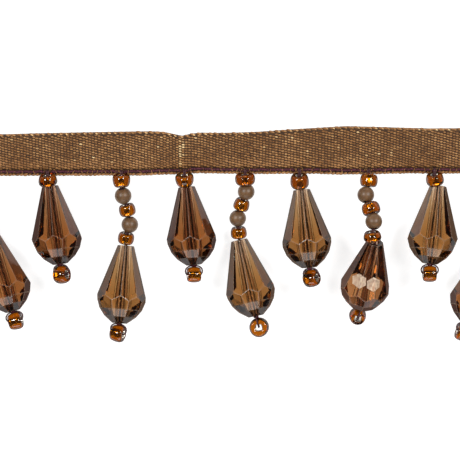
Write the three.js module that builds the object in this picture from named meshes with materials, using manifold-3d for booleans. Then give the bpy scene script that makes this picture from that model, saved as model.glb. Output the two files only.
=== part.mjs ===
// Beaded fringe trim: a woven header tape with strings of beads along its lower edge, lying flat.
// Millimetres. X runs along the tape, Y from the drops up to the tape, Z off the surface it lies on.
// The origin is on the underside of the tape, on its centre line.
import * as THREE from 'three';
import { mergeVertices } from 'three/addons/utils/BufferGeometryUtils.js';
import Module from 'manifold-3d';

const wasm = await Module();
wasm.setup();

// Header tape
const tapeHalfLength = 66;
const tapeSteps = 60;
const edgeBand = 2.2;
const creaseX = -11.3;
const creaseHalfWidth = 1.6;
const creaseRise = 0.7;

// Thread: the line stitched along the tape's edge, and the strands that hang from it
const lineRadius = 0.3;
const strandRadius = 0.22;
const threadInset = 1.25;
const threadHeight = 1.05;
const lineSides = 5;
const strandSides = 4;
const strandStep = 1.2;
const loopSteps = 12;
const threadEndInset = 0.4;
const threadOverlap = 0.7;
const mouthInset = 0.3;
const liftInset = 1.5;
const liftDip = 0.3;

// Beads
const boreRadius = 0.8;
const seedRadius = 2.05;
const seedLength = 2.8;
const seedHeight = 2.1;
const seedSegments = 9;
const seedProfilePoints = 8;
const roundRadius = 1.95;
const roundBore = 0.8;
const roundHeight = 2.05;
const roundSegments = 10;
const roundProfilePoints = 7;
const endSeedRadius = 2;
const endSeedLength = 3.1;
const endSeedReach = 0.42;

// Faceted teardrops: nine long facets above the belly, three rows of shorter ones below it
const facetCount = 9;
const dropLength = 18.2;
const dropTopRadius = 1.95;
const dropBellyRadius = 5.8;
const dropShoulderRadius = 3.8;
const dropFootRadius = 1.75;
const dropBore = 1.1;
const dropFootBore = 1.3;
const bellyAt = 11.8;
const facetTipAt = 12.9;
const lowerRowAt = 14.9;
const shoulderAt = 16.6;

const halfFacet = Math.PI / facetCount;
const facetSlope = Math.atan((dropBellyRadius - dropTopRadius) * Math.cos(halfFacet) / bellyAt);

// The tape's two edges, as places along X
const upperEdge = [
  { x: -66, y: 4.45 }, { x: -54, y: 4.5 }, { x: -42.8, y: 4.8 }, { x: -27.7, y: 5.1 },
  { x: -18.3, y: 5.25 }, { x: -14.6, y: 5.05 }, { x: -12.7, y: 4.55 }, { x: -10.8, y: 4.3 },
  { x: -8.9, y: 4.7 }, { x: -7, y: 4.95 }, { x: -3.3, y: 4.85 }, { x: 2.4, y: 4.95 },
  { x: 8, y: 5.2 }, { x: 13.6, y: 5.65 }, { x: 21.2, y: 6.1 }, { x: 26.8, y: 6.45 },
  { x: 34.3, y: 6.25 }, { x: 45.6, y: 5.9 }, { x: 53, y: 5.95 }, { x: 66, y: 5.9 },
];
const lowerEdge = [
  { x: -66, y: -5.45 }, { x: -54, y: -5.45 }, { x: -20, y: -5.35 }, { x: -14.6, y: -5.1 },
  { x: -7, y: -4.75 }, { x: -3.3, y: -4.9 }, { x: 8, y: -5 }, { x: 19.3, y: -4.9 },
  { x: 25, y: -5.15 }, { x: 34.3, y: -5 }, { x: 41.8, y: -4.85 }, { x: 66, y: -4.95 },
];

// The tape's section, as if its edges lay sectionHalfWidth from its middle: a thin lip, a groove for
// the thread, the body with a slight crown, and a rolled upper selvedge
const sectionHalfWidth = 5;
const tapeSection = [
  { y: -4.9, z: 0 }, { y: 4.85, z: 0 }, { y: 5, z: 0.35 }, { y: 4.97, z: 0.85 },
  { y: 4.75, z: 1.15 }, { y: 4.4, z: 1.22 }, { y: 4, z: 1.1 }, { y: 2.4, z: 1.16 },
  { y: 0, z: 1.18 }, { y: -2, z: 1.1 }, { y: -2.85, z: 1 }, { y: -3.2, z: 0.82 },
  { y: -3.4, z: 0.5 }, { y: -4.08, z: 0.48 }, { y: -4.3, z: 0.6 }, { y: -4.8, z: 0.55 },
  { y: -4.98, z: 0.3 },
];

// A seed and a round bead of a string, by the place of the middle of each
function seed(x, y, z = seedHeight, radius = seedRadius, length = seedLength) {
  return { kind: 'seed', x, y, z, radius, length };
}

function round(x, y, z = roundHeight) {
  return { kind: 'round', x, y, z };
}

// One row a drop: root is where its strand leaves the stitched line, top the middle of the teardrop's
// narrow end, lean its turn in the plane and end the turn, fall and roll of the bead that closes it.
// The seventh string bows up off the surface and its teardrop tips the other way.
const drops = [
  {
    root: -57.2,
    beads: [seed(-57.4, -5.85, 3), round(-59.25, -8.8, 2.3), seed(-60, -12.05, 2, 1.95, 2.3),
      round(-58.45, -15.05), seed(-56.6, -17.85, 2, 1.95, 2.4)],
    top: { x: -55.7, y: -19.6 }, lean: 16.6, end: { turn: 15, fall: -8, roll: 0 },
  },
  {
    root: -42.2, beads: [seed(-42.2, -5.8, 3.05, 2.15, 2.5)],
    top: { x: -41.8, y: -7.65 }, lean: 7.9, end: { turn: 9, fall: -8, roll: 25, radius: 2.1 },
  },
  {
    root: -25.1,
    beads: [seed(-25.15, -6, 2.95), round(-24.85, -9.75, 2.3), seed(-23.95, -13.2, 2, 1.9, 2.6),
      round(-23.4, -16.7), seed(-24.35, -20, 2, 1.9, 2.5)],
    top: { x: -24.4, y: -21.9 }, lean: -4.9, end: { turn: -9, fall: -8, roll: 20 },
  },
  {
    root: -10.5, beads: [seed(-10.5, -5.7, 3.4, 2.1, 2.7)],
    top: { x: -10.1, y: -7.8 }, lean: 5.7, end: { turn: 0, fall: -8, roll: -10, radius: 1.85 },
  },
  {
    root: 3.5,
    beads: [seed(3.5, -5.6, 3.3, 2.3, 2.5), round(3.75, -8.75, 2.5), seed(2.7, -11.9, 2, 1.85, 2.6),
      round(1.8, -15.2), seed(2.05, -18.65, 1.95, 1.85, 2.5)],
    top: { x: 2.15, y: -20.55 }, lean: 13, end: { turn: 16, fall: -14, roll: 90, radius: 2.3 },
  },
  {
    root: 16.1, beads: [seed(16.1, -6.1, 3.1, 2.15, 3.1)],
    top: { x: 16.65, y: -8.45 }, lean: 5.8, end: { turn: 13, fall: -8, roll: 30, radius: 2.1 },
  },
  {
    root: 32,
    beads: [seed(32.15, -5.95, 3.1), round(31.35, -8.95, 4.9), seed(32.45, -11.8, 6.7, 2.1, 2.6),
      round(33, -14.4, 8.5), seed(32.65, -17.6, 9.65, 2.05, 2.2)],
    top: { x: 33.35, y: -19.15 }, lean: -8.9, pitch: -16, twist: 20,
    end: { turn: -13, fall: 12, roll: 90, radius: 1.95 },
  },
  {
    root: 47.4, beads: [seed(47.4, -5.65, 3, 2.05, 2.6)],
    top: { x: 48.35, y: -7.55 }, lean: -6.6, end: { turn: -1, fall: -8, roll: 0, radius: 1.9 },
  },
  {
    root: 61.4,
    beads: [seed(61.4, -5.9, 3), round(61.2, -9.6, 2.3), seed(61.7, -13.25), round(61.1, -16.95),
      seed(61.2, -20.65, 2, 1.95, 2.6)],
    top: { x: 60.95, y: -22.7 }, lean: -18.4, end: { turn: -23, fall: -8, roll: 0 },
  },
];

// One side of the thread's loop round an end seed, from the teardrop to the seed's hole: how far past
// the seed's outer radius, and how far along its hole
const loopSide = [
  { out: 0.42, along: 0.25 }, { out: 0.02, along: 1.28 }, { out: -0.45, along: 1.82 },
  { out: -1.1, along: 1.98 }, { out: -1.75, along: 1.7 }, { out: -2.15, along: 1.1 },
  { out: -2.15, along: -0.3 },
];

const looks = {
  tape: new THREE.MeshStandardMaterial({ color: 0x80613f, roughness: 0.85, metalness: 0 }),
  thread: new THREE.MeshStandardMaterial({ color: 0x5a2a3c, roughness: 0.6, metalness: 0 }),
  seed: new THREE.MeshStandardMaterial({ color: 0xa5560c, roughness: 0.12, metalness: 0 }),
  round: new THREE.MeshStandardMaterial({ color: 0x75624d, roughness: 0.45, metalness: 0 }),
  drop: new THREE.MeshStandardMaterial({ color: 0x8a6038, roughness: 0.08, metalness: 0 }),
};

const trim = new THREE.Group();
trim.name = 'beaded_fringe_trim';

function radians(degrees) {
  return degrees * Math.PI / 180;
}

// Height of a line through a short table of places, straight between them
function along(table, x) {
  const after = table.findIndex((place) => place.x >= x);
  if (after <= 0) return after === 0 ? table[0].y : table[table.length - 1].y;
  const [a, b] = [table[after - 1], table[after]];
  return THREE.MathUtils.mapLinear(x, a.x, b.x, a.y, b.y);
}

// How far the tape is lifted off the surface by its one crease
function creaseLift(x) {
  return creaseRise * Math.exp(-(((x - creaseX) / creaseHalfWidth) ** 2));
}

// Only positions, shared vertices merged, so that the solid is closed
function welded(geometry) {
  const bare = geometry.clone();
  bare.deleteAttribute('normal');
  bare.deleteAttribute('uv');
  const merged = mergeVertices(bare, 1e-4);
  merged.computeVertexNormals();
  return merged;
}

function addPiece(name, geometry, material) {
  const mesh = new THREE.Mesh(geometry, material);
  mesh.name = name;
  trim.add(mesh);
  return mesh;
}

function polygon(sides, radius) {
  const shape = new THREE.Shape();
  for (let i = 0; i < sides; i += 1) {
    const angle = 2 * Math.PI * i / sides;
    const x = radius * Math.cos(angle);
    const y = radius * Math.sin(angle);
    if (i === 0) shape.moveTo(x, y);
    else shape.lineTo(x, y);
  }
  shape.closePath();
  return shape;
}

function smooth(points) {
  return new THREE.CatmullRomCurve3(points, false, 'centripetal');
}

function cord(curve, radius, sides, steps) {
  return new THREE.ExtrudeGeometry(polygon(sides, radius), { extrudePath: curve, steps });
}

function solid(geometry) {
  const merged = welded(geometry);
  return new wasm.Manifold(new wasm.Mesh({
    numProp: 3,
    vertProperties: new Float32Array(merged.attributes.position.array),
    triVerts: new Uint32Array(merged.index.array),
  }));
}

function fused(geometries) {
  const whole = geometries.map(solid).reduce((a, b) => a.add(b)).getMesh();
  const geometry = new THREE.BufferGeometry();
  geometry.setAttribute('position', new THREE.BufferAttribute(whole.vertProperties, 3));
  geometry.setIndex(new THREE.BufferAttribute(whole.triVerts, 1));
  return geometry;
}

// The section is drawn in its own plane and swept along X, then each point follows the two edges
function tapeGeometry() {
  const shape = new THREE.Shape(tapeSection.map((p) => new THREE.Vector2(p.y, p.z)));
  const settings = { depth: 2 * tapeHalfLength, steps: tapeSteps, bevelEnabled: false };
  const geometry = new THREE.ExtrudeGeometry(shape, settings);
  const position = geometry.attributes.position;
  for (let i = 0; i < position.count; i += 1) {
    const x = position.getZ(i) - tapeHalfLength;
    const across = position.getX(i);
    const low = along(lowerEdge, x);
    const high = along(upperEdge, x);
    const inner = sectionHalfWidth - edgeBand;
    let y = THREE.MathUtils.mapLinear(across, -inner, inner, low + edgeBand, high - edgeBand);
    if (across < -inner) y = low + sectionHalfWidth + across;
    if (across > inner) y = high - sectionHalfWidth + across;
    position.setXYZ(i, x, y, position.getY(i) + creaseLift(x));
  }
  return welded(geometry);
}

// A round tube bent into a ring, with the hole along Z
function seedGeometry(radius, length) {
  const middle = (radius + boreRadius) / 2;
  const thick = (radius - boreRadius) / 2;
  const profile = [];
  for (let i = 0; i <= seedProfilePoints; i += 1) {
    const angle = 2 * Math.PI * (i % seedProfilePoints) / seedProfilePoints;
    profile.push(new THREE.Vector2(middle + thick * Math.cos(angle), length / 2 * Math.sin(angle)));
  }
  return welded(new THREE.LatheGeometry(profile, seedSegments).rotateX(Math.PI / 2));
}

function roundGeometry() {
  const mouth = Math.acos(roundBore / roundRadius);
  const profile = [];
  for (let i = 0; i < roundProfilePoints; i += 1) {
    const angle = THREE.MathUtils.lerp(-mouth, mouth, i / (roundProfilePoints - 1));
    profile.push(new THREE.Vector2(roundRadius * Math.cos(angle), roundRadius * Math.sin(angle)));
  }
  profile.push(profile[0].clone());
  return welded(new THREE.LatheGeometry(profile, roundSegments).rotateX(Math.PI / 2));
}

// Nine points round the axis, half a facet further on where turned
function facetRing(distance, radius, turned) {
  const ring = [];
  for (let k = 0; k < facetCount; k += 1) {
    const angle = -Math.PI / 2 + halfFacet * (2 * k + (turned ? 2 : 1));
    ring.push([radius * Math.cos(angle), radius * Math.sin(angle), distance]);
  }
  return ring;
}

// The axis is Z, with the narrow end at the origin; a long facet faces down and a ridge faces up
function dropGeometry() {
  const cosine = Math.cos(halfFacet);
  const slope = (dropBellyRadius - dropTopRadius) / bellyAt;
  const tipRadius = (dropTopRadius + slope * facetTipAt) * cosine;
  const fall = (dropBellyRadius - tipRadius * cosine) / (facetTipAt - bellyAt);
  const lowerRadius = (dropBellyRadius - fall * (lowerRowAt - bellyAt)) / cosine;
  const rings = [
    { points: facetRing(0, dropBore, false), turned: false },
    { points: facetRing(0, dropTopRadius, false), turned: false },
    { points: facetRing(bellyAt, dropBellyRadius, false), turned: false },
    { points: facetRing(facetTipAt, tipRadius, true), turned: true },
    { points: facetRing(lowerRowAt, lowerRadius, true), turned: true },
    { points: facetRing(shoulderAt, dropShoulderRadius, true), turned: true },
    { points: facetRing(dropLength, dropFootRadius, true), turned: true },
    { points: facetRing(dropLength, dropFootBore, true), turned: true },
  ];
  const index = [];
  rings.forEach((ring, r) => {
    const next = rings[(r + 1) % rings.length];
    const closing = ring.turned && !next.turned ? 1 : 0;
    const a = (k) => r * facetCount + (k + facetCount) % facetCount;
    const b = (k) => rings.indexOf(next) * facetCount + (k + closing + facetCount) % facetCount;
    for (let k = 0; k < facetCount; k += 1) {
      index.push(a(k), a(k + 1), ring.turned === next.turned ? b(k + 1) : b(k));
      if (ring.turned === next.turned) index.push(a(k), b(k + 1), b(k));
      else index.push(a(k), b(k), b(k - 1));
    }
  });
  const geometry = new THREE.BufferGeometry();
  const places = rings.flatMap((ring) => ring.points.flat());
  geometry.setAttribute('position', new THREE.Float32BufferAttribute(places, 3));
  geometry.setIndex(index);
  geometry.computeVertexNormals();
  return geometry;
}

// A direction that leaves the tape, turned towards +X and raised off the surface, in degrees
function heading(turn, rise) {
  const flat = Math.cos(radians(rise));
  return new THREE.Vector3(
    Math.sin(radians(turn)) * flat,
    -Math.cos(radians(turn)) * flat,
    Math.sin(radians(rise)),
  );
}

// Turns a piece so that its own Z lies along an axis, with its own Y as near upright as it goes
function aim(object, axis) {
  const side = new THREE.Vector3(0, 0, 1).cross(axis).normalize();
  const up = axis.clone().cross(side);
  object.quaternion.setFromRotationMatrix(new THREE.Matrix4().makeBasis(side, up, axis));
}

// The teardrop's lowest corner rests on the surface, after its twist about its own axis
function placeDrop(mesh, top, axis, twist) {
  aim(mesh, axis);
  mesh.rotateZ(radians(twist));
  mesh.position.set(top.x, top.y, 0);
  mesh.updateMatrixWorld(true);
  const low = new THREE.Box3().setFromObject(mesh, true).min.z;
  mesh.position.z = -low;
}

function loopHalf(start, centre, back, hole, radius) {
  const points = loopSide.map((p) => {
    const out = Math.max(radius + p.out, 0);
    return centre.clone().addScaledVector(back, out).addScaledVector(hole, p.along);
  });
  return cord(smooth([start, ...points]), strandRadius, strandSides, loopSteps);
}

function carrierLine() {
  const points = [];
  for (let i = 0; i <= tapeSteps; i += 1) {
    const end = tapeHalfLength - threadEndInset;
    const x = THREE.MathUtils.lerp(-end, end, i / tapeSteps);
    points.push(new THREE.Vector3(x, along(lowerEdge, x) + threadInset, threadHeight + creaseLift(x)));
  }
  return cord(smooth(points), lineRadius, lineSides, tapeSteps);
}

// Builds one drop and gives back the pieces of thread that hold it
function buildDrop(row, number) {
  const name = `drop_${number}`;
  const low = along(lowerEdge, row.root);
  const axis = heading(row.lean, row.pitch ?? THREE.MathUtils.radToDeg(facetSlope));
  const teardrop = addPiece(`${name}_teardrop`, dropGeometry(), looks.drop);
  placeDrop(teardrop, row.top, axis, row.twist ?? 0);
  const top = teardrop.position.clone();
  const foot = top.clone().addScaledVector(axis, dropLength);

  const centres = row.beads.map((bead) => new THREE.Vector3(bead.x, bead.y, bead.z));
  const path = [
    new THREE.Vector3(row.root, low + threadInset, threadHeight + creaseLift(row.root)),
    new THREE.Vector3(row.root, low + liftInset, centres[0].z - liftDip),
    ...centres,
    top.clone().addScaledVector(axis, mouthInset),
    top.clone().addScaledVector(axis, dropLength / 2),
    foot.clone().addScaledVector(axis, -threadOverlap / 2),
  ];
  const curve = smooth(path);
  row.beads.forEach((bead, i) => {
    const geometry = bead.kind === 'seed' ? seedGeometry(bead.radius, bead.length) : roundGeometry();
    const piece = addPiece(`${name}_${bead.kind}_${i + 1}`, geometry, looks[bead.kind]);
    piece.position.copy(centres[i]);
    aim(piece, curve.getTangent((i + 2) / (path.length - 1)));
  });

  const radius = row.end.radius ?? endSeedRadius;
  const away = heading(row.end.turn, -row.end.fall);
  const across = new THREE.Vector3(0, 0, 1).cross(away).normalize();
  const hole = across.applyAxisAngle(away, radians(row.end.roll));
  const centre = foot.clone().addScaledVector(away, radius + endSeedReach);
  const endSeed = addPiece(`${name}_end_seed`, seedGeometry(radius, endSeedLength), looks.seed);
  endSeed.position.copy(centre);
  endSeed.quaternion.setFromUnitVectors(new THREE.Vector3(0, 0, 1), hole);

  const steps = Math.round(curve.getLength() / strandStep);
  const strand = cord(curve, strandRadius, strandSides, steps);
  const start = foot.clone().addScaledVector(axis, -threadOverlap);
  const back = away.clone().negate();
  const loops = [hole, hole.clone().negate()].map((side) => loopHalf(start, centre, back, side, radius));
  return [strand, ...loops];
}

addPiece('header_tape', tapeGeometry(), looks.tape);
const threads = drops.flatMap((row, i) => buildDrop(row, i + 1));
addPiece('beading_thread', fused([carrierLine(), ...threads]), looks.thread);

export default trim;
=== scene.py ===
"""Beaded fringe trim, laid flat: woven tape, plum thread, glass seeds, round beads, acrylic teardrops."""

import math
import random

import bmesh
import bpy
import numpy as np
from mathutils import Matrix, Vector


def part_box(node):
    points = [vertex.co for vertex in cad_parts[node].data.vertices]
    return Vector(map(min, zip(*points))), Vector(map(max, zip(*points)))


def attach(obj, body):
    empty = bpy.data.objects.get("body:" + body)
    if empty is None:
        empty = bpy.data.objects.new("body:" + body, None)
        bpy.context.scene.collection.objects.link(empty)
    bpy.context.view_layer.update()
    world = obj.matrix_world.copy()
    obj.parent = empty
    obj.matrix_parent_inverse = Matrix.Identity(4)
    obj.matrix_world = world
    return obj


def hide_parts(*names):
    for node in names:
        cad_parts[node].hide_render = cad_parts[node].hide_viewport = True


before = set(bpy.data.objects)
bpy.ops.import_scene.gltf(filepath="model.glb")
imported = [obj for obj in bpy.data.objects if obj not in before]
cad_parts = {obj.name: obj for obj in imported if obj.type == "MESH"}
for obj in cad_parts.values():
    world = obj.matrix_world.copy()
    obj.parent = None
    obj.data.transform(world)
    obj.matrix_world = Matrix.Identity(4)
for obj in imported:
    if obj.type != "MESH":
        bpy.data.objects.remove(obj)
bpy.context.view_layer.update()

MM = 0.001
Z = Vector((0, 0, 1))

# Camera: it leans so many degrees from straight above towards the tape's side
CAMERA_LEAN = 14.0
CAMERA_DISTANCE = 400 * MM
VIEW_WIDTH = 108.1 * MM
VIEW_CENTRE_Y = -18.53 * MM
SENSOR = 36.0

# Drops of the fringe, by number from the left: golden ones, one with painted reflections on two flats, and
# reddish ones
DROPS = range(1, 10)
GOLDEN_DROPS = (3, 5, 6, 8)
RUBBED_DROP = 7

# Where each strand leaves the stitched line, along the tape
STRAND_ROOTS = [x * MM for x in (-57.2, -42.2, -25.1, -10.5, 3.5, 16.1, 32, 47.4, 61.4)]


def nodes_named(part):
    return [name for name in sorted(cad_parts) if part in name]


def points_of(node):
    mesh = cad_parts[node].data
    flat = np.empty(len(mesh.vertices) * 3)
    mesh.vertices.foreach_get("co", flat)
    return flat.reshape(-1, 3)


def smooth_step(t):
    t = min(max(t, 0.0), 1.0)
    return t * t * (3 - 2 * t)


def bell(distance, width):
    return math.exp(-((distance / width) ** 2))


# Colours and nodes

# The sockets of a colour Mix node, by number: its share of the second colour, both colours and its result
MIX_SHARE = 0
MIX_FIRST = 6
MIX_SECOND = 7
MIX_RESULT = 2


def linear(code, alpha=1.0):
    """An sRGB hex colour as linear values."""
    out = []
    for i in (0, 2, 4):
        c = int(code[i : i + 2], 16) / 255
        out.append(c / 12.92 if c <= 0.04045 else ((c + 0.055) / 1.055) ** 2.4)
    return (*out, alpha)


def add(tree, kind, inputs=None, stops=(), **settings):
    """Adds a node with its settings, fills or links its inputs, and sets a ramp's stops."""
    node = tree.nodes.new(kind)
    for key, value in settings.items():
        setattr(node, key, value)
    for key, value in (inputs or {}).items():
        if isinstance(value, bpy.types.NodeSocket):
            tree.links.new(value, node.inputs[key])
        else:
            node.inputs[key].default_value = value
    for number, (place, code) in enumerate(stops):
        elements = node.color_ramp.elements
        element = elements[number] if number < len(elements) else elements.new(place)
        element.position = place
        element.color = linear(code)
    return node


def new_material(name):
    material = bpy.data.materials.new(name)
    material.use_nodes = True
    tree = material.node_tree
    tree.nodes.clear()
    out = add(tree, "ShaderNodeOutputMaterial")
    return material, tree, out


def blotches(tree, size, detail=2.0, roughness=0.5, stretch=(1, 1, 1), coords=None):
    """Soft blotches about the given size, in metres, on the piece's own coordinates."""
    coords = coords or add(tree, "ShaderNodeTexCoord").outputs["Object"]
    scale = [s / size for s in stretch]
    mapping = add(tree, "ShaderNodeMapping", {"Vector": coords, "Scale": scale})
    inputs = {"Vector": mapping.outputs["Vector"], "Scale": 1.0, "Detail": detail, "Roughness": roughness}
    return add(tree, "ShaderNodeTexNoise", inputs).outputs["Fac"]


# Materials


def twill_ground():
    """Woven polyester ground of the tape, seen between the floats and underneath: matte, and dark partly as
    painted shade in the gaps between the floats.
    """
    material, tree, out = new_material("woven_polyester_ground")
    patches = blotches(tree, 0.9 * MM, 3)
    # Dark tones: partly the yarn's colour, partly painted shade between the floats
    colour = add(tree, "ShaderNodeValToRGB", {"Fac": patches}, [(0.3, "321d0c"), (0.7, "53381e")])
    grain = blotches(tree, 0.15 * MM)
    bump = add(tree, "ShaderNodeBump", {"Height": grain, "Strength": 0.5, "Distance": 0.1 * MM})
    shader = add(tree, "ShaderNodeBsdfPrincipled", {
        "Base Color": colour.outputs["Color"],
        "Roughness": 0.85,
        "Normal": bump.outputs["Normal"],
    })
    tree.links.new(shader.outputs[0], out.inputs["Surface"])
    return material


def twill_floats():
    """Floats of textured polyester yarn: each has its own tone, which also carries painted glints and a
    painted highlight along the crease, and its filaments give a satin glint.
    """
    material, tree, out = new_material("woven_polyester_floats")
    tone = add(tree, "ShaderNodeAttribute", attribute_name="tone").outputs["Fac"]
    # The lightest tones carry the painted glints and the crease's painted highlight
    tones = [(0.0, "8c6239"), (0.45, "ad7d4d"), (0.8, "c99a64"), (1.0, "fbdaa2")]
    own = add(tree, "ShaderNodeValToRGB", {"Fac": tone}, tones)
    clouds = blotches(tree, 9 * MM, 2)
    cloudy = add(tree, "ShaderNodeValToRGB", {"Fac": clouds}, [(0.35, "d8cdbd"), (0.65, "ffffff")])
    layers = {MIX_SHARE: 1.0, MIX_FIRST: own.outputs["Color"], MIX_SECOND: cloudy.outputs["Color"]}
    colour = add(tree, "ShaderNodeMix", layers, data_type="RGBA", blend_type="MULTIPLY")
    filaments = blotches(tree, 0.07 * MM, 1, stretch=(0.12, 1, 1))
    bump = add(tree, "ShaderNodeBump", {"Height": filaments, "Strength": 0.35, "Distance": 0.04 * MM})
    shader = add(tree, "ShaderNodeBsdfPrincipled", {
        "Base Color": colour.outputs[MIX_RESULT],
        "Roughness": 0.5,
        "Specular IOR Level": 0.3,
        "Sheen Weight": 0.08,
        "Sheen Roughness": 0.4,
        "Sheen Tint": linear("d8b98c"),
        "Normal": bump.outputs["Normal"],
    })
    tree.links.new(shader.outputs[0], out.inputs["Surface"])
    return material


def bonded_nylon(name, dark, middle, light):
    """Twisted bonded nylon thread: uneven in tone, with a dull waxy gloss on each ply."""
    material, tree, out = new_material(name)
    patches = blotches(tree, 0.4 * MM, 3, 0.6)
    colour = add(tree, "ShaderNodeValToRGB", {"Fac": patches}, [(0.3, dark), (0.6, middle), (0.78, light)])
    shader = add(tree, "ShaderNodeBsdfPrincipled", {
        "Base Color": colour.outputs["Color"],
        "Roughness": 0.6,
        "Specular IOR Level": 0.3,
    })
    tree.links.new(shader.outputs[0], out.inputs["Surface"])
    return material


# How slanted a clear face is where painted shade starts to darken it, and where that shade is deepest
PAINTED_SHADE_SLANTS = (0.45, 0.65)


def clear(name, tint, deep_shade, slants, passed, absorbed, density, roughness, ior):
    """A clear solid: its tint, deeper where seen at a slant, partly for the longer path and partly as
    painted shade, and the colour that its depth leaves of white.

    Seen at a slant it also lets less light pass and shows its deep tint instead: painted shade, so that its
    sides look smoky instead of mirror-like.
    """
    material, tree, out = new_material(name)
    # Painted shade: the slant darkens the tint and, below, lets less light through
    slant = add(tree, "ShaderNodeLayerWeight", {"Blend": 0.5}).outputs["Facing"]
    slanted = add(tree, "ShaderNodeMapRange", {"Value": slant, "From Min": slants[0], "From Max": slants[1]})
    tints = {MIX_SHARE: slanted.outputs["Result"], MIX_FIRST: linear(tint), MIX_SECOND: linear(deep_shade)}
    colour = add(tree, "ShaderNodeMix", tints, data_type="RGBA")
    passing = add(tree, "ShaderNodeMapRange", {
        "Value": slant,
        "From Min": PAINTED_SHADE_SLANTS[0],
        "From Max": PAINTED_SHADE_SLANTS[1],
        "To Min": 1.0,
        "To Max": passed,
    })
    shader = add(tree, "ShaderNodeBsdfPrincipled", {
        "Base Color": colour.outputs[MIX_RESULT],
        "Roughness": roughness,
        "IOR": ior,
        "Specular IOR Level": 0.0,
        "Transmission Weight": passing.outputs["Result"],
    })
    volume = add(tree, "ShaderNodeVolumeAbsorption", {"Color": linear(absorbed), "Density": density})
    tree.links.new(shader.outputs[0], out.inputs["Surface"])
    tree.links.new(volume.outputs[0], out.inputs["Volume"])
    return material, tree, shader


def amber_glass():
    """Pressed soda glass, amber all through: golden where thin, brown at its rims, partly from its depth and
    partly as painted shade on the slanted faces.
    """
    return clear(
        "amber_soda_glass", tint="e8c672", deep_shade="4a1e00", slants=(0.25, 0.6), passed=0.35,
        absorbed="ecd312", density=1750.0, roughness=0.03, ior=1.52,
    )[0]


def silver_lining():
    """Silver leaf on the wall of the square hole, bright behind the amber glass."""
    material, tree, out = new_material("silver_leaf_lining")
    patches = blotches(tree, 0.5 * MM)
    rough = add(tree, "ShaderNodeMapRange", {"Value": patches, "To Min": 0.2, "To Max": 0.35})
    shader = add(tree, "ShaderNodeBsdfPrincipled", {
        "Base Color": linear("f2efe6"),
        "Metallic": 1.0,
        "Roughness": rough.outputs["Result"],
    })
    tree.links.new(shader.outputs[0], out.inputs["Surface"])
    return material


def smoky_acrylic(name, tint, deep_shade, absorbed, density):
    """Moulded smoky acrylic: polished facets that are never quite flat.

    A face's own haze roughens it, and its painted reflection hides what lies behind it under a pale, grainy
    patch: painted glints on the facets' edges, painted soft-box reflections on the flats.
    """
    material, tree, shader = clear(
        name, tint, deep_shade, slants=(0.2, 0.4), passed=0.1,
        absorbed=absorbed, density=density, roughness=0.02, ior=1.49,
    )
    body = shader.inputs["Base Color"].links[0].from_socket
    passing = shader.inputs["Transmission Weight"].links[0].from_socket
    # Painted reflection: marked faces turn pale and let less light through
    painted_reflection = add(tree, "ShaderNodeAttribute", attribute_name="painted_reflection").outputs["Fac"]
    grain = add(tree, "ShaderNodeMapRange", {
        "Value": blotches(tree, 0.4 * MM),
        "From Min": 0.4,
        "From Max": 0.6,
        "To Min": 0.3,
        "To Max": 1.1,
    })
    grained = {0: painted_reflection, 1: grain.outputs["Result"]}
    reflection_share = add(tree, "ShaderNodeMath", grained, operation="MULTIPLY", use_clamp=True).outputs[0]
    reflection_mix = {MIX_SHARE: reflection_share, MIX_FIRST: body, MIX_SECOND: linear("e6d2b8")}
    colour = add(tree, "ShaderNodeMix", reflection_mix, data_type="RGBA")
    tree.links.new(colour.outputs[MIX_RESULT], shader.inputs["Base Color"])
    through = add(tree, "ShaderNodeMath", {0: passing, 1: reflection_share}, operation="SUBTRACT", use_clamp=True)
    tree.links.new(through.outputs[0], shader.inputs["Transmission Weight"])
    mould = add(tree, "ShaderNodeAttribute", attribute_name="mould").outputs["Vector"]
    lines = blotches(tree, 0.6 * MM, 2, 0.6, stretch=(1, 1, 0.07), coords=mould)
    waves = blotches(tree, 2.2 * MM, 1, coords=mould)
    fine = add(tree, "ShaderNodeBump", {"Height": lines, "Strength": 0.5, "Distance": 0.03 * MM})
    bump = add(tree, "ShaderNodeBump", {
        "Height": waves,
        "Strength": 0.3,
        "Distance": 0.12 * MM,
        "Normal": fine.outputs["Normal"],
    })
    tree.links.new(bump.outputs["Normal"], shader.inputs["Normal"])
    haze = add(tree, "ShaderNodeAttribute", attribute_name="haze").outputs["Fac"]
    rough = add(tree, "ShaderNodeMapRange", {"Value": haze, "To Min": 0.02, "To Max": 0.5})
    tree.links.new(rough.outputs["Result"], shader.inputs["Roughness"])
    return material


def taupe_resin():
    """Tumbled resin: satin taupe with faint cloudy veins and pits."""
    material, tree, out = new_material("tumbled_taupe_resin")
    veins = blotches(tree, 1.6 * MM, 4, 0.6)
    stops = [(0.3, "5a4029"), (0.55, "6c4f34"), (0.75, "826244")]
    colour = add(tree, "ShaderNodeValToRGB", {"Fac": veins}, stops)
    pits = blotches(tree, 0.35 * MM)
    bump = add(tree, "ShaderNodeBump", {"Height": pits, "Strength": 0.2, "Distance": 0.05 * MM})
    shader = add(tree, "ShaderNodeBsdfPrincipled", {
        "Base Color": colour.outputs["Color"],
        "Roughness": 0.42,
        "Subsurface Weight": 0.1,
        "Subsurface Scale": 0.4 * MM,
        "Normal": bump.outputs["Normal"],
    })
    tree.links.new(shader.outputs[0], out.inputs["Surface"])
    return material


# Mesh helpers


def new_piece(name, mesh):
    piece = bpy.data.objects.new(name, mesh)
    bpy.context.scene.collection.objects.link(piece)
    return piece


def mesh_from(name, points, faces, smooth=True):
    mesh = bpy.data.meshes.new(name)
    mesh.from_pydata([tuple(p) for p in points], [], faces)
    mesh.validate()
    if smooth:
        mesh.shade_smooth()
    return mesh


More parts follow.
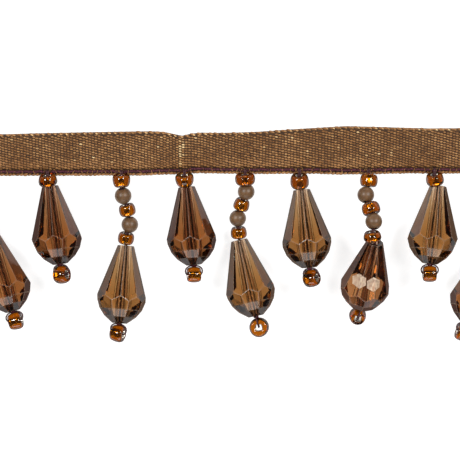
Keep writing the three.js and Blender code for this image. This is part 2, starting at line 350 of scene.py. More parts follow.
def ring_faces(rings, sides, closed_rings=False):
    """Quads between rings of points, each of so many sides."""
    faces = []
    for i in range(rings if closed_rings else rings - 1):
        a, b = i * sides, (i + 1) % rings * sides
        for j in range(sides):
            k = (j + 1) % sides
            faces.append((a + j, a + k, b + k, b + j))
    return faces


def frozen(piece, name):
    """The piece with its modifiers made into a plain mesh."""
    graph = bpy.context.evaluated_depsgraph_get()
    mesh = bpy.data.meshes.new_from_object(piece.evaluated_get(graph), depsgraph=graph)
    mesh.name = name
    bpy.data.objects.remove(piece)
    return new_piece(name, mesh)


def with_nodes(piece, tree, values):
    """Gives the piece a node tree as modifier, and sets the tree's named inputs."""
    modifier = piece.modifiers.new(tree.name, "NODES")
    modifier.node_group = tree
    for socket in tree.interface.items_tree:
        if socket.in_out == "INPUT" and socket.name in values:
            modifier[socket.identifier] = values[socket.name]
    return piece


def new_tree(name, sizes):
    """A geometry node tree with a Geometry input, the named inputs and a Geometry output."""
    tree = bpy.data.node_groups.new(name, "GeometryNodeTree")
    tree.interface.new_socket("Geometry", in_out="INPUT", socket_type="NodeSocketGeometry")
    tree.interface.new_socket("Geometry", in_out="OUTPUT", socket_type="NodeSocketGeometry")
    for label, kind in sizes:
        tree.interface.new_socket(label, in_out="INPUT", socket_type=kind)
    return tree, tree.nodes.new("NodeGroupInput"), tree.nodes.new("NodeGroupOutput")


# Where things lie, read from the frame


def bead_frame(node):
    """Middle, hole direction, radius and half length of a turned bead."""
    points = points_of(node)
    unique = np.unique(np.round(points, 7), axis=0)
    centre = unique.mean(0)
    values, vectors = np.linalg.eigh(np.cov((unique - centre).T))
    odd = 0 if values[1] - values[0] > values[2] - values[1] else 2
    axis = vectors[:, odd]
    if axis[1] > 0:
        axis = -axis
    along = (unique - centre) @ axis
    out = np.linalg.norm(unique - centre - np.outer(along, axis), axis=1)
    return Vector(centre), Vector(axis), float(out.max()), float(np.ptp(along) / 2)


def teardrop_frame(node):
    """The middle of the narrow end, the direction to the foot, and the length."""
    unique = np.unique(np.round(points_of(node), 7), axis=0)
    centre = unique.mean(0)
    vectors = np.linalg.eigh(np.cov((unique - centre).T))[1]
    axis = vectors[:, 2] if vectors[1, 2] < 0 else -vectors[:, 2]
    along = (unique - centre) @ axis
    top = centre + axis * along.min()
    return Vector(top), Vector(axis), float(np.ptp(along))


def turned_to(axis):
    """A rotation whose Z is the axis and whose Y is as near upright as it goes."""
    side = Z.cross(axis).normalized()
    if side.length < 0.5:
        side = Vector((1, 0, 0))
    up = axis.cross(side)
    return Matrix((side, up, axis)).transposed()


# Tape

CREASE_X = -11.3 * MM
CREASE_HALF_WIDTH = 1.6 * MM
CREASE_RISE = 0.7 * MM
SECTION_HALF_WIDTH = 5 * MM
EDGE_BAND = 2.2 * MM
TAPE_STEP = 0.45 * MM
TAPE_HALF_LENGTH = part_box("header_tape")[1].x

# The ground's section, drawn as if the edges lay SECTION_HALF_WIDTH from the middle: first its underside
UNDERSIDE_POINTS = 5
TAPE_SECTION = [
    (y * MM, z * MM)
    for y, z in (
        (-4.85, 0), (-2.4, 0), (0, 0), (2.4, 0), (4.7, 0),
        (4.88, 0.3), (4.85, 0.75), (4.65, 1), (4.35, 1.05), (4, 0.98), (2.4, 1.04), (0, 1.06), (-2, 0.98),
        (-3, 0.88), (-3.4, 0.72), (-3.52, 0.4), (-4.05, 0.38), (-4.3, 0.44), (-4.8, 0.42), (-4.97, 0.25),
    )
]


def tape_edges():
    """The lower and upper edge of the tape at its stations along X."""
    points = points_of("header_tape")
    xs = np.unique(np.round(points[:, 0], 6))
    low = [points[np.abs(points[:, 0] - x) < 1e-5, 1].min() for x in xs]
    high = [points[np.abs(points[:, 0] - x) < 1e-5, 1].max() for x in xs]
    return xs, np.array(low), np.array(high)


EDGE_X, EDGE_LOW, EDGE_HIGH = tape_edges()


def lower_edge(x):
    return float(np.interp(x, EDGE_X, EDGE_LOW))


def upper_edge(x):
    return float(np.interp(x, EDGE_X, EDGE_HIGH))


def crease_lift(x):
    return CREASE_RISE * bell(x - CREASE_X, CREASE_HALF_WIDTH)


def across_tape(x, y):
    """Where a place of the section lies across the tape at x."""
    low, high = lower_edge(x), upper_edge(x)
    inner = SECTION_HALF_WIDTH - EDGE_BAND
    if y < -inner:
        return low + SECTION_HALF_WIDTH + y
    if y > inner:
        return high - SECTION_HALF_WIDTH + y
    share = (y + inner) / (2 * inner)
    return low + EDGE_BAND + share * (high - low - 2 * EDGE_BAND)


def make_ground(material):
    stations = int(round(2 * TAPE_HALF_LENGTH / TAPE_STEP))
    points = []
    for i in range(stations + 1):
        x = -TAPE_HALF_LENGTH + 2 * TAPE_HALF_LENGTH * i / stations
        points += [(x, across_tape(x, y), z + crease_lift(x)) for y, z in TAPE_SECTION]
    sides = len(TAPE_SECTION)
    faces = ring_faces(stations + 1, sides)
    faces.append(tuple(range(sides)))
    faces.append(tuple(reversed(range(stations * sides, (stations + 1) * sides))))
    mesh = mesh_from("tape_ground", points, faces)
    outwards(mesh)
    mesh.materials.append(material)
    return new_piece("tape_ground", mesh)


def outwards(mesh):
    work = bmesh.new()
    work.from_mesh(mesh)
    bmesh.ops.recalc_face_normals(work, faces=work.faces)
    work.to_mesh(mesh)
    work.free()


# Weave: each float is one yarn's pass over the ground, on a lattice that falls to the right. It is drawn
# coarse enough to show in the render, and the real yarns may be finer

COLUMN_PITCH = 0.72 * MM
ROW_PITCH = 0.6 * MM
ROW_SHIFT = ROW_PITCH / 3
FLOAT_LENGTH = 0.7 * MM
FLOAT_WIDTH = 0.38 * MM
FLOAT_HEIGHT = 0.34 * MM
FLOAT_TILT = -9
FLOAT_LIFT = 0.01 * MM

# How far inside the tape's edges and cut ends the floats lie
WEAVE_TOP = 0.75 * MM
WEAVE_BOTTOM = 1.42 * MM
WEAVE_LEFT = 0.45 * MM
WEAVE_RIGHT = 0.15 * MM

# How large a share of the floats carries a painted glint, and how much lighter the floats along the crease
# are painted, as a painted highlight on its ridge
GLINT_SHARE = 0.08
CREASE_HIGHLIGHT = 0.5
CREASE_HIGHLIGHT_WIDTH = 0.8 * MM

# Flatter, wider floats over the lower part of the tape, most at its left, whose darker, evener tones are
# painted shade
LOW_WEAVE_REACH = 3.2 * MM
LOW_WEAVE_FADE = 2.2 * MM
LOW_WEAVE_LEAST = 0.7
LOW_WEAVE_LEFT = -20 * MM
LOW_WEAVE_LEFT_FADE = 25 * MM


def section_height(y):
    """Height of the section's upper side at y."""
    ys, zs = zip(*reversed(TAPE_SECTION[UNDERSIDE_POINTS:]))
    return float(np.interp(y, ys, zs))


def section_place(x, y):
    """The section's own y for a place across the tape at x."""
    low, high = lower_edge(x), upper_edge(x)
    inner = SECTION_HALF_WIDTH - EDGE_BAND
    if y < low + EDGE_BAND:
        return y - low - SECTION_HALF_WIDTH
    if y > high - EDGE_BAND:
        return y - high + SECTION_HALF_WIDTH
    return -inner + (y - low - EDGE_BAND) / (high - low - 2 * EDGE_BAND) * 2 * inner


def tape_top(x, y):
    return section_height(section_place(x, y)) + crease_lift(x)


def lying(x, y, turn):
    """Euler angles of something that lies on the tape's top, turned in its plane."""
    step = 0.1 * MM
    slope_x = (tape_top(x + step, y) - tape_top(x - step, y)) / (2 * step)
    slope_y = (tape_top(x, y + step) - tape_top(x, y - step)) / (2 * step)
    return (math.atan(slope_y), -math.atan(slope_x), turn)


def float_places(rng):
    """Rows of (place, turn, size, tone) for the tape's upper face, with painted glints here and there and a
    painted highlight along the crease.
    """
    rows = []
    columns = int((2 * TAPE_HALF_LENGTH - WEAVE_LEFT - WEAVE_RIGHT) / COLUMN_PITCH)
    for i in range(columns + 1):
        x = -TAPE_HALF_LENGTH + WEAVE_LEFT + i * COLUMN_PITCH
        top, bottom = upper_edge(x) - WEAVE_TOP, lower_edge(x) + WEAVE_BOTTOM
        y = top - (i * ROW_SHIFT) % ROW_PITCH
        while y > bottom:
            px = x + rng.gauss(0, 0.03) * MM
            py = y + rng.gauss(0, 0.02) * MM
            turn = math.radians(FLOAT_TILT + rng.gauss(0, 5))
            at_left = smooth_step((LOW_WEAVE_LEFT - x) / LOW_WEAVE_LEFT_FADE)
            at_bottom = smooth_step((bottom + LOW_WEAVE_REACH - y) / LOW_WEAVE_FADE)
            low_weave = (LOW_WEAVE_LEAST + (1 - LOW_WEAVE_LEAST) * at_left) * at_bottom
            place = (px, py, tape_top(px, py) + FLOAT_LIFT)
            size = (
                (1 + 0.1 * low_weave) * (1 + rng.gauss(0, 0.06)),
                (1 + 0.45 * low_weave) * (1 + rng.gauss(0, 0.08)),
                (1 - 0.45 * low_weave) * (1 + rng.gauss(0, 0.12)),
            )
            glint = rng.uniform(0.1, 0.3) if rng.random() < GLINT_SHARE else 0
            # Painted shade: the lower floats get darker, evener tones
            own = (0.75 - 0.3 * low_weave) * rng.random()
            # Painted glints and a painted highlight along the crease raise the tone
            tone = min(1.0, own + glint + CREASE_HIGHLIGHT * bell(px - CREASE_X, CREASE_HIGHLIGHT_WIDTH))
            rows.append((place, lying(px, py, turn), size, tone))
            y -= ROW_PITCH
    return rows


def edge_places(rng, edge, inset, pitch, tilt, height, tones):
    """Rows of (place, turn, size, tone) for bumps along an edge of the tape."""
    rows = []
    x = -TAPE_HALF_LENGTH + pitch / 2
    while x < TAPE_HALF_LENGTH - pitch / 3:
        y = edge(x) + inset
        turn = math.radians(tilt + rng.gauss(0, 6))
        z = height + crease_lift(x)
        size = (1 + rng.gauss(0, 0.1), 1 + rng.gauss(0, 0.1), 1 + rng.gauss(0, 0.1))
        rows.append(((x + rng.gauss(0, 0.05) * MM, y, z), (0, 0, turn), size, rng.uniform(*tones)))
        x += pitch * (1 + rng.gauss(0, 0.04))
    return rows


# Loose yarns: so many at each root, and others between, clear of the tape's cut ends
ROOT_FIBRES = 4
FIBRE_ENDS = 1 * MM
FIBRE_INSET = -0.1 * MM
FIBRE_LIFT = 0.24 * MM
FIBRE_SLOPE = 22


def fibre_places(rng):
    """Rows of (place, turn, size, tone) for loose yarns over the stitched line, most at the roots."""
    xs = [root + rng.uniform(-1, 1) * MM for root in STRAND_ROOTS for _ in range(ROOT_FIBRES)]
    x = -TAPE_HALF_LENGTH + FIBRE_ENDS
    while x < TAPE_HALF_LENGTH - FIBRE_ENDS:
        xs.append(x)
        x += rng.uniform(0.7, 3) * MM
    rows = []
    for x in xs:
        place = (x, lower_edge(x) + LINE_INSET + FIBRE_INSET, LINE_HEIGHT + FIBRE_LIFT + crease_lift(x))
        turn = (0, math.radians(FIBRE_SLOPE), math.radians(-90 + rng.gauss(0, 25)))
        size = (rng.uniform(0.6, 1.2), rng.uniform(0.7, 1.2), 1)
        rows.append((place, turn, size, rng.uniform(0.1, 0.7)))
    return rows


def yarn_tree(material):
    """Puts a yarn bump at each point, turned and scaled by the point's own values; its tone goes along."""
    sizes = [
        ("Length", "NodeSocketFloat"),
        ("Width", "NodeSocketFloat"),
        ("Height", "NodeSocketFloat"),
        ("Sides", "NodeSocketInt"),
    ]
    tree, given, out = new_tree("yarn_bumps", sizes)
    ball = {"Segments": given.outputs["Sides"], "Rings": 5, "Radius": 0.5}
    sphere = add(tree, "GeometryNodeMeshUVSphere", ball)
    scale = add(tree, "ShaderNodeCombineXYZ", {
        "X": given.outputs["Length"], "Y": given.outputs["Width"], "Z": given.outputs["Height"],
    })
    poles_along = {"Geometry": sphere.outputs["Mesh"], "Rotation": (0, math.pi / 2, 0)}
    on_side = add(tree, "GeometryNodeTransform", poles_along)
    bump = add(tree, "GeometryNodeTransform", {"Geometry": on_side.outputs[0], "Scale": scale.outputs[0]})
    turn = add(tree, "GeometryNodeInputNamedAttribute", {"Name": "turn"}, data_type="FLOAT_VECTOR")
    size = add(tree, "GeometryNodeInputNamedAttribute", {"Name": "size"}, data_type="FLOAT_VECTOR")
    placed = add(tree, "GeometryNodeInstanceOnPoints", {
        "Points": given.outputs["Geometry"],
        "Instance": bump.outputs[0],
        "Rotation": turn.outputs["Attribute"],
        "Scale": size.outputs["Attribute"],
    })
    real = add(tree, "GeometryNodeRealizeInstances", {"Geometry": placed.outputs[0]})
    smooth = add(tree, "GeometryNodeSetShadeSmooth", {"Geometry": real.outputs[0]})
    dressed = add(tree, "GeometryNodeSetMaterial", {"Geometry": smooth.outputs[0], "Material": material})
    tree.links.new(dressed.outputs[0], out.inputs["Geometry"])
    return tree


def make_bumps(name, tree, rows, length, width, height, sides):
    mesh = bpy.data.meshes.new(name)
    mesh.from_pydata([row[0] for row in rows], [], [])
    for label, column in (("turn", 1), ("size", 2)):
        attribute = mesh.attributes.new(label, "FLOAT_VECTOR", "POINT")
        attribute.data.foreach_set("vector", [v for row in rows for v in row[column]])
    tones = mesh.attributes.new("tone", "FLOAT", "POINT")
    tones.data.foreach_set("value", [row[3] for row in rows])
    piece = new_piece(name + "_points", mesh)
    values = {"Length": length, "Width": width, "Height": height, "Sides": sides}
    return frozen(with_nodes(piece, tree, values), name)


# Thread

LINE_RADIUS = 0.34 * MM
LINE_TWIST = 1.5 * MM
STRAND_RADIUS = 0.22 * MM
STRAND_APART = 0.17 * MM
STRAND_TWIST = 1.1 * MM
THREAD_STEP = 0.16 * MM
LINE_INSET = 1.1 * MM
LINE_HEIGHT = 0.95 * MM
LINE_UNEVEN = 0.06 * MM
LINE_STEPS = 240
LINE_ENDS = 0.3 * MM
ROOT_DIP = 0.35 * MM
ROOT_DIP_WIDTH = 1.1 * MM
LIFT_INSET = 1.5 * MM
LIFT_DIP = 0.3 * MM
BORE_START = 0.3 * MM
BORE_END = 0.7 * MM

# The thread's three plies: how deep the grooves between them lie, and the points of its section
PLIES = 3
PLY_GROOVE = 0.62
PLY_POINTS = 9

# One side of the loop round an end seed: how far past its outer radius, and how far along its hole
LOOP_SIDE = [
    (out * MM, along * MM)
    for out, along in (
        (0.42, 0.25), (0.02, 1.28), (-0.45, 1.82), (-1.1, 1.98), (-1.75, 1.7), (-2.15, 1.1), (-2.15, -0.3),
    )
]


def catmull_rom(points, step):
    """A centripetal Catmull-Rom curve through the points, with points about a step apart."""
    points = [Vector(p) for p in points]
    padded = [2 * points[0] - points[1], *points, 2 * points[-1] - points[-2]]
    out = []
    for i in range(1, len(padded) - 2):
        p0, p1, p2, p3 = padded[i - 1 : i + 3]
        t1 = (p1 - p0).length ** 0.5
        t2 = t1 + (p2 - p1).length ** 0.5
        t3 = t2 + (p3 - p2).length ** 0.5
        count = max(2, round((p2 - p1).length / step))
        for k in range(count):
            t = t1 + (t2 - t1) * k / count
            a1 = p0.lerp(p1, t / t1)
            a2 = p1.lerp(p2, (t - t1) / (t2 - t1))
            a3 = p2.lerp(p3, (t - t2) / (t3 - t2))
            b1 = a1.lerp(a2, t / t2)
            b2 = a2.lerp(a3, (t - t1) / (t3 - t1))
            out.append(b1.lerp(b2, (t - t1) / (t2 - t1)))
    out.append(points[-1])
    return out


def line_path(rng):
    """The stitched line, which dips a little towards the edge at each root."""
    points = []
    reach = TAPE_HALF_LENGTH - LINE_ENDS
    for i in range(LINE_STEPS + 1):
        x = -reach + 2 * reach * i / LINE_STEPS
        dip = sum(bell(x - root, ROOT_DIP_WIDTH) for root in STRAND_ROOTS)
        y = lower_edge(x) + LINE_INSET - ROOT_DIP * dip + rng.gauss(0, LINE_UNEVEN)
        points.append((x, y, LINE_HEIGHT + crease_lift(x) + rng.gauss(0, LINE_UNEVEN)))
    return catmull_rom(points, THREAD_STEP)


def string_path(number, side):
    """One of a string's two strands: from the stitched line through the beads, then round the end seed."""
    beads = [n for n in nodes_named(f"drop_{number}_") if n.split("_")[2] in ("seed", "round")]
    beads.sort(key=lambda n: int(n.split("_")[3]))
    top, axis, length = teardrop_frame(f"drop_{number}_teardrop")
    centres = [bead_frame(n)[0] for n in beads]
    root = STRAND_ROOTS[number - 1]
    low = lower_edge(root)
    foot = top + axis * length
    end, hole, radius, _ = bead_frame(f"drop_{number}_end_seed")
    apart = (hole - axis * hole.dot(axis)).normalized() * side * STRAND_APART
    flat = Vector((1, 0, 0)) * side * STRAND_APART * (1 if hole.x > 0 else -1)
    points = [
        Vector((root, low + LINE_INSET - ROOT_DIP, LINE_HEIGHT + crease_lift(root))) + flat,
        Vector((root, low + LIFT_INSET, centres[0].z - LIFT_DIP)) + flat,
        *[centre + flat for centre in centres],
        top + axis * BORE_START + flat,
        top + axis * length / 2 + (flat + apart) / 2,
        foot - axis * BORE_END + apart,
    ]
    back = (foot - end).normalized()
    for out, along in LOOP_SIDE:
        points.append(end + back * max(radius + out, 0) + hole * side * along)
    return points


def thread_tree(name, material):
    """Sweeps a three-lobed section along each line of edges, twisting as it goes."""
    tree, given, out = new_tree(name, [("Radius", "NodeSocketFloat"), ("Twist", "NodeSocketFloat")])
    lines = add(tree, "GeometryNodeMeshToCurve", {"Mesh": given.outputs["Geometry"]})
    along = add(tree, "GeometryNodeSplineParameter")
    ratio = {0: along.outputs["Length"], 1: given.outputs["Twist"]}
    turns = add(tree, "ShaderNodeMath", ratio, operation="DIVIDE")
    angle = add(tree, "ShaderNodeMath", {0: turns.outputs[0], 1: 2 * math.pi}, operation="MULTIPLY")
    tilted = add(tree, "GeometryNodeSetCurveTilt", {"Curve": lines.outputs[0], "Tilt": angle.outputs[0]})
    inner = add(tree, "ShaderNodeMath", {0: given.outputs["Radius"], 1: PLY_GROOVE}, operation="MULTIPLY")
    star = add(tree, "GeometryNodeCurveStar", {
        "Points": PLIES, "Inner Radius": inner.outputs[0], "Outer Radius": given.outputs["Radius"],
    })
    rounded = add(tree, "GeometryNodeCurveSplineType", {"Curve": star.outputs[0]}, spline_type="CATMULL_ROM")
    fine = add(tree, "GeometryNodeResampleCurve", {"Curve": rounded.outputs[0], "Count": PLY_POINTS})
    swept = add(tree, "GeometryNodeCurveToMesh", {
        "Curve": tilted.outputs[0], "Profile Curve": fine.outputs[0], "Fill Caps": True,
    })
    smooth = add(tree, "GeometryNodeSetShadeSmooth", {"Geometry": swept.outputs[0]})
    real = add(tree, "GeometryNodeRealizeInstances", {"Geometry": smooth.outputs[0]})
    dressed = add(tree, "GeometryNodeSetMaterial", {"Geometry": real.outputs[0], "Material": material})
    tree.links.new(dressed.outputs[0], out.inputs["Geometry"])
    return tree


def string_paths():
    return [catmull_rom(string_path(number, side), THREAD_STEP) for number in DROPS for side in (1, -1)]


# Knots: their turns, their radius and height, and the share of the height that is sunk into the foot
KNOT_TURNS = 2.5
KNOT_RADIUS = 0.42 * MM
KNOT_RISE = 0.5 * MM
KNOT_SUNK = 0.3
KNOT_STEPS = 26


def knot_path(number):
    """Turns of thread drawn tight round the strands where they leave a teardrop's foot."""
    top, axis, length = teardrop_frame(f"drop_{number}_teardrop")
    foot = top + axis * (length - KNOT_RISE * KNOT_SUNK)
    side, up = turned_to(axis).transposed()[:2]
    points = []
    for i in range(KNOT_STEPS + 1):
        angle = 2 * math.pi * KNOT_TURNS * i / KNOT_STEPS + number
        out = side * math.cos(angle) + up * math.sin(angle)
        points.append(foot + out * KNOT_RADIUS + axis * KNOT_RISE * i / KNOT_STEPS)
    return catmull_rom(points, THREAD_STEP)


def make_thread(name, tree, paths, radius, twist):
    points, edges = [], []
    for path in paths:
        first = len(points)
        points += [tuple(p) for p in path]
        edges += [(k, k + 1) for k in range(first, len(points) - 1)]
    mesh = bpy.data.meshes.new(name + "_lines")
    mesh.from_pydata(points, edges, [])
    piece = new_piece(name + "_lines", mesh)
    piece = frozen(with_nodes(piece, tree, {"Radius": radius, "Twist": twist}), name)
    outwards(piece.data)
    return piece


# Beads

# Seeds: half the width of the square hole, how square it is, and how far round the section its wall reaches
SEED_HOLE = 0.6 * MM
SEED_SQUARENESS = 5
SEED_LINED = -0.35
SEED_AROUND = 32
SEED_ALONG = 28

# How round the section is at the seed's ends, outer side and hole: 1 is a circle's arc, and less is squarer
SEED_END = 0.85
SEED_OUTSIDE = 0.9
SEED_INSIDE = 0.45

# How far a seed narrows to one end, how far it is spun about its hole, and how uneven its outline is
SEED_TAPER = 0.1
SEED_SPIN = 0.35
SEED_OVAL = 0.012
SEED_LOBES = 0.008


def rounded_power(value, power):
    return math.copysign(abs(value) ** power, value)


def seed_points(radius, half, taper, phase):
    """A barrel with a square hole; the ring's section runs from the outer side round to the hole."""
    points = []
    for i in range(SEED_ALONG):
        t = 2 * math.pi * i / SEED_ALONG
        c, s = math.cos(t), math.sin(t)
        for j in range(SEED_AROUND):
            angle = 2 * math.pi * j / SEED_AROUND
            square = abs(math.cos(angle)) ** SEED_SQUARENESS + abs(math.sin(angle)) ** SEED_SQUARENESS
            hole = SEED_HOLE * square ** (-1 / SEED_SQUARENESS)
            uneven = SEED_OVAL * math.sin(2 * angle + phase) + SEED_LOBES * math.sin(3 * angle - phase)
            outer = radius * (1 + uneven)
            z = half * rounded_power(s, SEED_END)
            middle, thick = (outer + hole) / 2, (outer - hole) / 2
            r = middle + thick * rounded_power(c, SEED_OUTSIDE if c > 0 else SEED_INSIDE)
            if c > 0:
                r *= 1 + taper * z / half * (r - middle) / thick
            points.append(Vector((r * math.cos(angle), r * math.sin(angle), z)))
    return points


def make_seed(name, node, glass, lining, rng):
    centre, axis, radius, half = bead_frame(node)
    taper = rng.uniform(-SEED_TAPER, SEED_TAPER)
    points = seed_points(radius, half, taper, rng.uniform(0, 6))
    spin = Matrix.Rotation(rng.uniform(-SEED_SPIN, SEED_SPIN), 3, "Z")
    turn = turned_to(axis) @ spin
    mesh = mesh_from(name, [centre + turn @ p for p in points], ring_faces(SEED_ALONG, SEED_AROUND, True))
    mesh.materials.append(glass)
    mesh.materials.append(lining)
    for polygon in mesh.polygons:
        row = polygon.index // SEED_AROUND
        polygon.material_index = int(math.cos(2 * math.pi * (row + 0.5) / SEED_ALONG) < SEED_LINED)
    outwards(mesh)
    return new_piece(name, mesh)


# Round beads: the bore's radius, the worn lip at its mouths, and the points along and around a bead
ROUND_BORE = 0.8 * MM
ROUND_LIP = 0.12 * MM
ROUND_ALONG = 22
ROUND_AROUND = 36


def make_round(name, node, material):
    centre, axis, radius, _ = bead_frame(node)
    mouth = math.acos(ROUND_BORE / radius)
    profile = []
    for i in range(ROUND_ALONG):
        angle = -mouth + 2 * mouth * i / (ROUND_ALONG - 1)
        profile.append((radius * math.cos(angle), radius * math.sin(angle)))
    profile[0] = (ROUND_BORE + ROUND_LIP * 0.3, profile[0][1] + ROUND_LIP * 0.2)
    profile[-1] = (ROUND_BORE + ROUND_LIP * 0.3, profile[-1][1] - ROUND_LIP * 0.2)
    profile += [(ROUND_BORE, profile[-1][1] - ROUND_LIP), (ROUND_BORE, profile[0][1] + ROUND_LIP)]
    turn = turned_to(axis)
    points = []
    for r, z in profile:
        for j in range(ROUND_AROUND):
            angle = 2 * math.pi * j / ROUND_AROUND
            points.append(centre + turn @ Vector((r * math.cos(angle), r * math.sin(angle), z)))
    mesh = mesh_from(name, points, ring_faces(len(profile), ROUND_AROUND, True))
    outwards(mesh)
    mesh.materials.append(material)
    return new_piece(name, mesh)


# Teardrops: the width of a facet's rounded edge, and the radius of the mould that its streaks follow
FACET_EDGE = 0.07 * MM
MOULD_RADIUS = 5 * MM

# Points this near each other are merged. Edges under the flat angle go, spokes aside, and those over the
# sharp angle are rounded
LOOSE_POINTS = 0.001 * MM
FLAT_ANGLE = math.radians(0.5)
SHARP_ANGLE = math.radians(3)

# A face is the bore's wall if it is this near the axis, this far from both ends and leans no more than this
BORE_REACH = 1.35 * MM
BORE_MARGIN = 0.1 * MM
BORE_SLANT = 0.3

# An edge is a spoke if its ends are this near each other along the axis, and in one direction from it
SPOKE_LEVEL = 0.01 * MM
SPOKE_STRAIGHT = 0.9999

# Two six-sided flats on the seventh drop's belly, painted pale as reflections of the soft boxes: where their
# middles lie
REFLECTING_FLATS = [Vector((x * MM, y * MM, 0)) for x, y in ((29.8, -28.1), (33.05, -28.8))]
REFLECTING_REACH = 1.5 * MM
REFLECTING_SIDES = [Vector((math.cos(i * math.pi / 3), math.sin(i * math.pi / 3), 0)) for i in range(6)]

# A face is cut and given the painted reflection only where its normal rises by more than this
UPWARD = 0.4

# How hazy the bore's wall, the facets' edges and the reflecting flats are, and how strong the painted
# reflection on them is, from 0 to 1
BORE_HAZE = 0.4375
RIM_HAZE, RIM_REFLECTION = 0.4, 0.3
REFLECTING_HAZE, FLAT_REFLECTION = 1.0, 0.85


def cut_reflecting_flats(work, haze, painted_reflection):
    """Cuts the outlines of the reflecting flats into the upper facets, and gives the faces inside them a
    painted reflection.
    """
    for place in REFLECTING_FLATS:
        for side in REFLECTING_SIDES:
            faces = [f for f in work.faces if f.normal.z > UPWARD and f[haze] != BORE_HAZE]
            edges = list({e for f in faces for e in f.edges})
            corners = list({v for f in faces for v in f.verts})
            cut = {"geom": faces + edges + corners, "plane_co": place + side * REFLECTING_REACH, "plane_no": side}
            bmesh.ops.bisect_plane(work, **cut)
        for face in work.faces:
            offset = face.calc_center_median() - place
            inside = max(offset.dot(side) for side in REFLECTING_SIDES) < REFLECTING_REACH
            if inside and face.normal.z > UPWARD and face[haze] != BORE_HAZE:
                face[haze], face[painted_reflection] = REFLECTING_HAZE, FLAT_REFLECTION


def make_teardrop(name, node, acrylic):
    """The faceted solid with rounded edges: its bore is hazy, as moulded, and its edges carry a pale painted
    glint.
    """
    top, axis, length = teardrop_frame(node)
    work = bmesh.new()
    work.from_mesh(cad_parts[node].data)
    bmesh.ops.remove_doubles(work, verts=work.verts, dist=LOOSE_POINTS)
    work.normal_update()
    flat = [e for e in work.edges if len(e.link_faces) == 2 and e.calc_face_angle() < FLAT_ANGLE]
    diagonals = [e for e in flat if not is_spoke(e, top, axis)]
    bmesh.ops.dissolve_edges(work, edges=diagonals, use_verts=False)
    haze = work.faces.layers.float.new("haze")
    painted_reflection = work.faces.layers.float.new("painted_reflection")
    sharp = [e for e in work.edges if e.calc_face_angle() > SHARP_ANGLE]
    rims = bmesh.ops.bevel(
        work, geom=sharp, offset=FACET_EDGE, segments=2, profile=0.5, affect="EDGES", clamp_overlap=True
    )["faces"]
    # Painted glint: the rounded edges of the facets turn pale
    for face in rims:
        face[haze], face[painted_reflection] = RIM_HAZE, RIM_REFLECTION
    for face in work.faces:
        offset = face.calc_center_median() - top
        along = offset.dot(axis)
        out = (offset - axis * along).length
        inside = BORE_MARGIN < along < length - BORE_MARGIN and out < BORE_REACH
        if inside and abs(face.normal.dot(axis)) < BORE_SLANT:
            face[haze], face[painted_reflection] = BORE_HAZE, 0.0
    if node == f"drop_{RUBBED_DROP}_teardrop":
        cut_reflecting_flats(work, haze, painted_reflection)
    mesh = bpy.data.meshes.new(name)
    work.to_mesh(mesh)
    work.free()
    mesh.materials.append(acrylic)
    side, up = turned_to(axis).transposed()[:2]
    mould = mesh.attributes.new("mould", "FLOAT_VECTOR", "POINT")
    for vertex in mesh.vertices:
        offset = vertex.co - top
        angle = math.atan2(offset.dot(up), offset.dot(side))
        place = (MOULD_RADIUS * math.cos(angle), MOULD_RADIUS * math.sin(angle), offset.dot(axis))
        mould.data[vertex.index].vector = place
    return new_piece(name, mesh)


def is_spoke(edge, top, axis):
    """True for an edge of an end ring's flat face that runs straight out from the bore."""
    a, b = (v.co - top for v in edge.verts)
    if abs((a - b).dot(axis)) > SPOKE_LEVEL:
        return False
    inner = (a - axis * a.dot(axis)).normalized()
    outer = (b - axis * b.dot(axis)).normalized()
    return inner.dot(outer) > SPOKE_STRAIGHT


# Floor, lights and camera

FLOOR_REACH = 3.0
FLOOR_TOP = -0.05 * MM


def make_floor():
    """A pale matte table, lit from within so that the trim casts next to no shadow."""
    material, tree, out = new_material("white_table")
    clouds = blotches(tree, 40 * MM)
    colour = add(tree, "ShaderNodeValToRGB", {"Fac": clouds}, [(0.3, "a4a4a4"), (0.7, "aaaaaa")])
    shader = add(tree, "ShaderNodeBsdfPrincipled", {
        "Base Color": colour.outputs["Color"],
        "Roughness": 0.9,
        "Specular IOR Level": 0.1,
        "Emission Color": linear("ffffff"),
        "Emission Strength": 0.8,
    })
    tree.links.new(shader.outputs[0], out.inputs["Surface"])
    signs = ((-1, -1), (1, -1), (1, 1), (-1, 1))
    corners = [(x * FLOOR_REACH, y * FLOOR_REACH, FLOOR_TOP) for x, y in signs]
    mesh = mesh_from("floor", corners, [(0, 1, 2, 3)], smooth=False)
    mesh.materials.append(material)
    floor = new_piece("floor", mesh)


def soft_light(name, place, size, watts):
    data = bpy.data.lights.new(name, "AREA")
    data.shape = "RECTANGLE"
    data.size, data.size_y = size
    data.energy = watts
    light = bpy.data.objects.new(name, data)
    light.location = place
    aim = Vector((0, VIEW_CENTRE_Y, 0)) - light.location
    light.rotation_euler = aim.to_track_quat("-Z", "Y").to_euler()
    bpy.context.scene.collection.objects.link(light)


def make_lights():
    """Two soft boxes behind the tape and a wide weak one in front, with a faint warm room."""
    world = bpy.data.worlds.new("studio")
    world.use_nodes = True
    background = world.node_tree.nodes["Background"]
    background.inputs["Color"].default_value = linear("e0d6ca")
    background.inputs["Strength"].default_value = 0.12
    bpy.context.scene.world = world
    soft_light("left_box", place=(-0.33, 0.22, 0.5), size=(0.2, 0.2), watts=2.6)
    soft_light("right_box", place=(0.33, 0.22, 0.5), size=(0.2, 0.2), watts=2.6)
    soft_light("front_box", place=(0, -0.6, 0.35), size=(0.6, 0.3), watts=1.5)


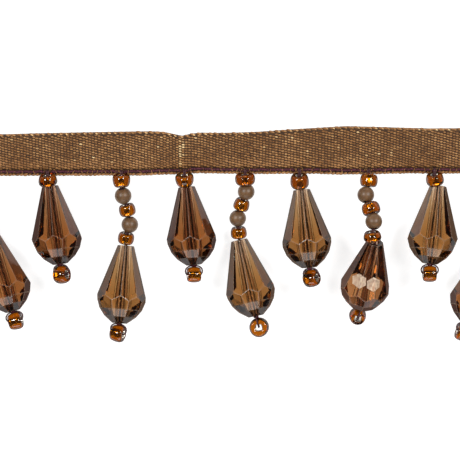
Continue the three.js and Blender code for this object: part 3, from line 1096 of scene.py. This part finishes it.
def make_camera():
    lean = math.radians(CAMERA_LEAN)
    data = bpy.data.cameras.new("camera")
    data.sensor_width = SENSOR
    data.lens = SENSOR * CAMERA_DISTANCE / VIEW_WIDTH
    data.clip_start = 0.01
    data.clip_end = 10
    camera = bpy.data.objects.new("camera", data)
    camera.location = (0, VIEW_CENTRE_Y + CAMERA_DISTANCE * math.sin(lean), CAMERA_DISTANCE * math.cos(lean))
    camera.rotation_euler = (-lean, 0, 0)
    bpy.context.scene.collection.objects.link(camera)
    bpy.context.scene.camera = camera


def dress(piece, slot, *nodes):
    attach(piece, "root")
    if nodes:
        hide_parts(*nodes)


make_camera()
make_floor()
make_lights()
bpy.context.scene.view_settings.view_transform = "Standard"

ground = make_ground(twill_ground())
yarn = yarn_tree(twill_floats())
rng = random.Random(41)
weave = make_bumps("tape_weave", yarn, float_places(rng), FLOAT_LENGTH, FLOAT_WIDTH, FLOAT_HEIGHT, sides=8)
rows = edge_places(
    rng, upper_edge, inset=-0.32 * MM, pitch=1.4 * MM, tilt=-12, height=0.82 * MM, tones=(0, 0.3)
)
selvedge = make_bumps(
    "tape_selvedge", yarn, rows, length=1.6 * MM, width=0.6 * MM, height=0.56 * MM, sides=8
)
# The loop tips take the lightest tones, a painted highlight on top of the selvedge loops
rows = edge_places(
    rng, upper_edge, inset=-0.36 * MM, pitch=1.4 * MM, tilt=-24, height=1.06 * MM, tones=(0.6, 1)
)
tips = make_bumps("tape_loop_tips", yarn, rows, length=0.62 * MM, width=0.3 * MM, height=0.24 * MM, sides=8)
rows = edge_places(
    rng, lower_edge, inset=0.26 * MM, pitch=0.9 * MM, tilt=22, height=0.42 * MM, tones=(0, 0.5)
)
lip = make_bumps("tape_lip", yarn, rows, length=1.05 * MM, width=0.62 * MM, height=0.46 * MM, sides=8)
rows = fibre_places(rng)
fibres = make_bumps("tape_fibres", yarn, rows, length=1.1 * MM, width=0.17 * MM, height=0.16 * MM, sides=6)
plum = bonded_nylon("twisted_nylon_plum", "300e18", "582533", "92586a")
mauve = bonded_nylon("twisted_nylon_mauve", "33171d", "523235", "7a5c58")
line_ply = thread_tree("twisted_line", plum)
strand_ply = thread_tree("twisted_strand", mauve)
stitched = make_thread("stitched_line", line_ply, [line_path(rng)], LINE_RADIUS, LINE_TWIST)
strands = make_thread("bead_strands", strand_ply, string_paths(), STRAND_RADIUS, STRAND_TWIST)
knot_paths = [knot_path(number) for number in DROPS]
knots = make_thread("foot_knots", line_ply, knot_paths, STRAND_RADIUS, STRAND_TWIST)

dress(ground, "tape", "header_tape")
for piece in (weave, selvedge, tips, lip, fibres):
    dress(piece, "tape")
dress(strands, "thread", "beading_thread")
dress(stitched, "thread")
dress(knots, "thread")

glass, lining = amber_glass(), silver_lining()
for node in nodes_named("seed"):
    seed = make_seed("glass_" + node, node, glass, lining, rng)
    dress(seed, "seed", node)
taupe = taupe_resin()
for node in nodes_named("round"):
    bead = make_round("satin_" + node, node, taupe)
    dress(bead, "round", node)
golden = smoky_acrylic(
    "golden_smoky_acrylic", tint="deccc0", deep_shade="503620", absorbed="e2bf4e", density=260.0
)
reddish = smoky_acrylic(
    "reddish_smoky_acrylic", tint="b5978a", deep_shade="40241a", absorbed="f0cb57", density=230.0
)
russet = smoky_acrylic(
    "russet_smoky_acrylic", tint="c6a79a", deep_shade="4e2e1e", absorbed="f0cb57", density=180.0
)
for number in DROPS:
    node = f"drop_{number}_teardrop"
    acrylic = reddish
    if number in GOLDEN_DROPS:
        acrylic = golden
    elif number == RUBBED_DROP:
        acrylic = russet
    teardrop = make_teardrop("acrylic_" + node, node, acrylic)
    dress(teardrop, "teardrop", node)
